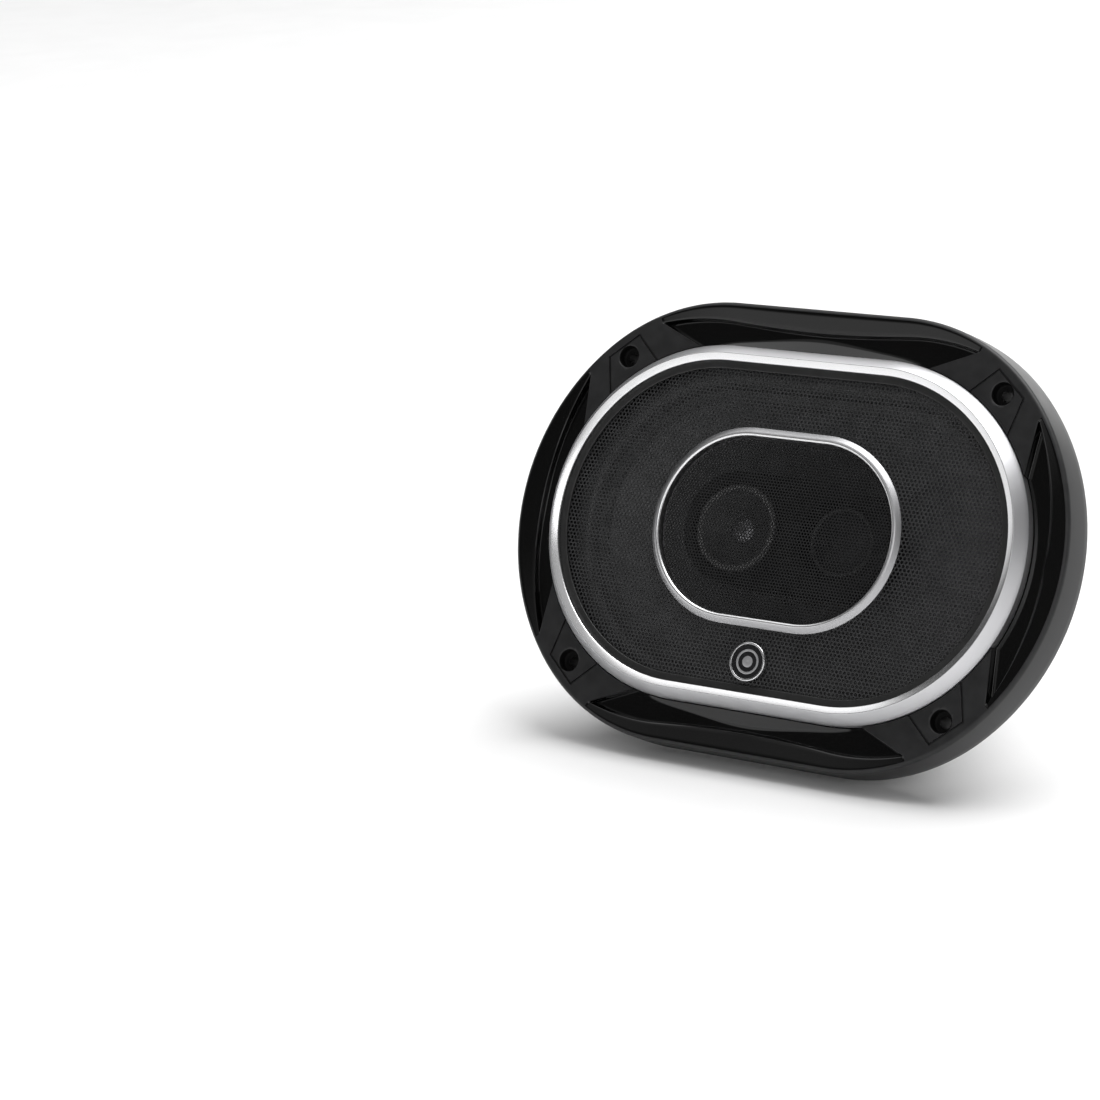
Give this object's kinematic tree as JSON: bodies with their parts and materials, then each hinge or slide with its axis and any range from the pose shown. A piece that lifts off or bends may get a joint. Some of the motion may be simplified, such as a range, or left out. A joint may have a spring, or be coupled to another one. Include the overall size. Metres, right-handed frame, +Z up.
{
  "type": "coaxial car speaker",
  "caption": "Oval coaxial car speaker with magnet boot, terminals, small drivers on a centre post and a lift-off grille with silver rings, leaning back on its rim and boot",
  "frame": {"origin": "the middle of the footprint, on the surface that the speaker's rim and magnet boot stand on", "axes": "+Z up; +X along the oval's long axis, to the right as seen from the front; the face looks towards -Y, leaned back by about 26 degrees"},
  "size_m": [0.255, 0.1494, 0.1732],
  "materials": {
    "satin_black_steel": "satin black powder coat",
    "foam": "matte closed-cell foam",
    "black_plastic": "matte moulded",
    "tinned_brass": "bright tin plate",
    "copper_braid": "bare copper braid",
    "capacitor_film": "gloss sleeve",
    "motor_steel": "zinc plated",
    "ferrite": "matte ferrite",
    "boot_rubber": "matte moulded rubber",
    "label_film": "printed film",
    "cone_paper": "moulded mineral-filled sheet",
    "surround_rubber": "matte rubber",
    "former_film": "amber film",
    "copper_wire": "enamelled copper",
    "spider_cloth": "impregnated cloth",
    "dome_silk": "doped silk",
    "tray_plastic": "satin lands, polished channels",
    "silver_trim": "satin silver with a bright inner bevel",
    "mesh_steel": "black perforated sheet",
    "badge_rim_metal": "polished",
    "badge_face_black": "gloss dished face"
  },
  "bodies": {
    "chassis": {"basket": "satin_black_steel", "front_gasket": "foam", "terminal_bracket": "black_plastic", "terminal_tab_wide": "tinned_brass", "terminal_tab_narrow": "tinned_brass", "solder_lugs": "tinned_brass", "terminal_rivets": "tinned_brass", "tinsel_leads": "copper_braid", "crossover_capacitor": "capacitor_film", "top_plate": "motor_steel", "magnet_ring": "ferrite", "back_plate": "motor_steel", "magnet_boot": "boot_rubber", "rear_label": "label_film", "post_screw": "motor_steel", "surround": "surround_rubber", "spider": "spider_cloth", "pod_post": "black_plastic", "pod_housing": "black_plastic", "midrange_frame": "black_plastic", "midrange_surround": "surround_rubber", "midrange_magnet": "motor_steel", "tweeter_faceplate": "black_plastic", "tweeter_surround": "surround_rubber", "tweeter_magnet": "motor_steel", "grille_tray": "tray_plastic"},
    "cone_assembly": {"cone": "cone_paper", "voice_coil_former": "former_film", "voice_coil_winding": "copper_wire"},
    "midrange_diaphragm": {"midrange_cone": "cone_paper", "midrange_dust_cap": "cone_paper", "midrange_coil": "copper_wire"},
    "tweeter_diaphragm": {"tweeter_dome": "dome_silk", "tweeter_coil": "copper_wire"},
    "grille": {"trim_ring": "silver_trim", "mesh_carrier": "black_plastic", "main_mesh": "mesh_steel", "inner_trim_ring": "silver_trim", "inner_mesh": "mesh_steel", "badge_rim": "badge_rim_metal", "badge_face": "badge_face_black"}
  },
  "joints": [
    {"name": "cone_stroke", "type": "slide", "parent": "chassis", "child": "cone_assembly", "axis": [0, -0.8967, 0.4425], "range_m": [-0.0045, 0.0045], "stiffness_N_per_m": 2500, "deforming": ["surround", "spider", "tinsel_leads"]},
    {"name": "midrange_stroke", "type": "slide", "parent": "chassis", "child": "midrange_diaphragm", "axis": [0, -0.8967, 0.4425], "range_m": [-0.0006, 0.0006], "stiffness_N_per_m": 3000, "deforming": ["midrange_surround"]},
    {"name": "tweeter_stroke", "type": "slide", "parent": "chassis", "child": "tweeter_diaphragm", "axis": [0, -0.8967, 0.4425], "range_m": [-0.0003, 0.0003], "stiffness_N_per_m": 4000, "deforming": ["tweeter_surround"]},
    {"name": "grille_release", "type": "slide", "parent": "chassis", "child": "grille", "axis": [0, -0.8967, 0.4425], "range_m": [0, 0.04]}
  ]
}
